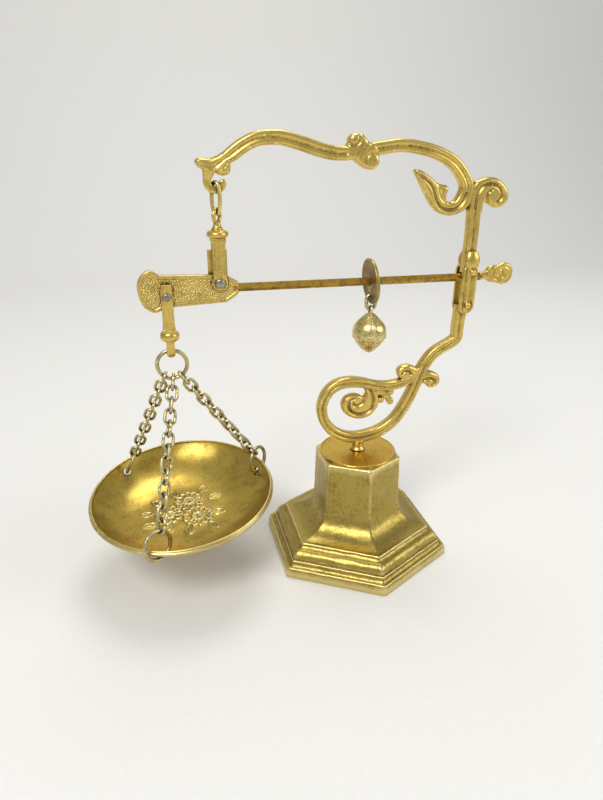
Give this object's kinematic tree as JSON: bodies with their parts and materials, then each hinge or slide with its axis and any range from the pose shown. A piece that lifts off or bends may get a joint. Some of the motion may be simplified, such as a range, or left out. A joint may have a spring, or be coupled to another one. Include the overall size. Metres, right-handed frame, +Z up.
{
  "type": "steelyard",
  "caption": "Miniature brass steelyard: a lever with a sliding disc and ball weight, hung from a scroll arm on a hexagonal foot, with a pan on chains.",
  "frame": {"origin": "centre of the foot's flat bottom face", "axes": "+Z up, +X along the lever from the pan towards the tail, +Y away from the viewer"},
  "size_m": [0.1717, 0.081, 0.1672],
  "materials": {
    "brass": "worn satin, dark in the grooves",
    "pale_brass": "drawn wire, pale",
    "steel": "dull"
  },
  "bodies": {
    "stand": {"base_casting": "brass", "cap_disc": "brass", "fixing_washer": "steel", "fixing_nut": "steel", "lower_scroll": "brass", "front_guide_plate": "brass", "rear_guide_plate": "brass", "upper_scroll": "brass"},
    "shackle": {"hook_link": "pale_brass", "upper_shackle": "brass"},
    "fulcrum": {"fulcrum_pin": "steel"},
    "lever": {"beam": "brass"},
    "load_hanger": {"load_pin": "steel", "load_shackle": "brass"},
    "ring": {"load_ring": "pale_brass"},
    "pan_set": {"chain_left": "pale_brass", "chain_right": "pale_brass", "chain_front": "pale_brass", "pan": "brass", "pan_ring_left": "pale_brass", "pan_ring_right": "pale_brass", "pan_ring_front": "pale_brass"},
    "disc": {"poise_disc": "brass"},
    "disc_link": {"poise_link": "pale_brass"},
    "ball": {"poise_ball": "brass"}
  },
  "joints": [
    {"name": "shackle_sway", "type": "hinge", "parent": "stand", "child": "shackle", "pos_m": [-0.0546, 0, 0.15091], "axis": [0, 1, 0], "range_deg": [-3.5, 3.5]},
    {"name": "fulcrum_level", "type": "hinge", "parent": "shackle", "child": "fulcrum", "pos_m": [-0.0546, 0, 0.11758], "axis": [0, 1, 0], "range_deg": [-3.5, 3.5]},
    {"name": "beam_rock", "type": "hinge", "parent": "fulcrum", "child": "lever", "pos_m": [-0.0546, 0, 0.11758], "axis": [0, 1, 0], "range_deg": [0, 5]},
    {"name": "load_shackle_swing", "type": "hinge", "parent": "lever", "child": "load_hanger", "pos_m": [-0.0734, 0, 0.11358], "axis": [0, 1, 0], "range_deg": [-5, 20]},
    {"name": "load_ring_swing", "type": "hinge", "parent": "load_hanger", "child": "ring", "pos_m": [-0.0734, 0, 0.09343], "axis": [1, 0, 0], "range_deg": [-15, 15]},
    {"name": "pan_swing", "type": "hinge", "parent": "ring", "child": "pan_set", "pos_m": [-0.0734, 0, 0.08803], "axis": [0, 1, 0], "range_deg": [-5, 8]},
    {"name": "poise_slide", "type": "slide", "parent": "lever", "child": "disc", "axis": [1, 0, 0], "range_m": [-0.045, 0.026]},
    {"name": "poise_link_swing", "type": "hinge", "parent": "disc", "child": "disc_link", "pos_m": [0.00263, 0, 0.11036], "axis": [1, 0, 0], "range_deg": [-25, 25]},
    {"name": "poise_ball_swing", "type": "hinge", "parent": "disc_link", "child": "ball", "pos_m": [0.00263, 0, 0.10641], "axis": [0, 1, 0], "range_deg": [-35, 35]}
  ],
  "couplings": [
    {"joint": "fulcrum_level", "follows": "shackle_sway", "ratio": -1}
  ]
}
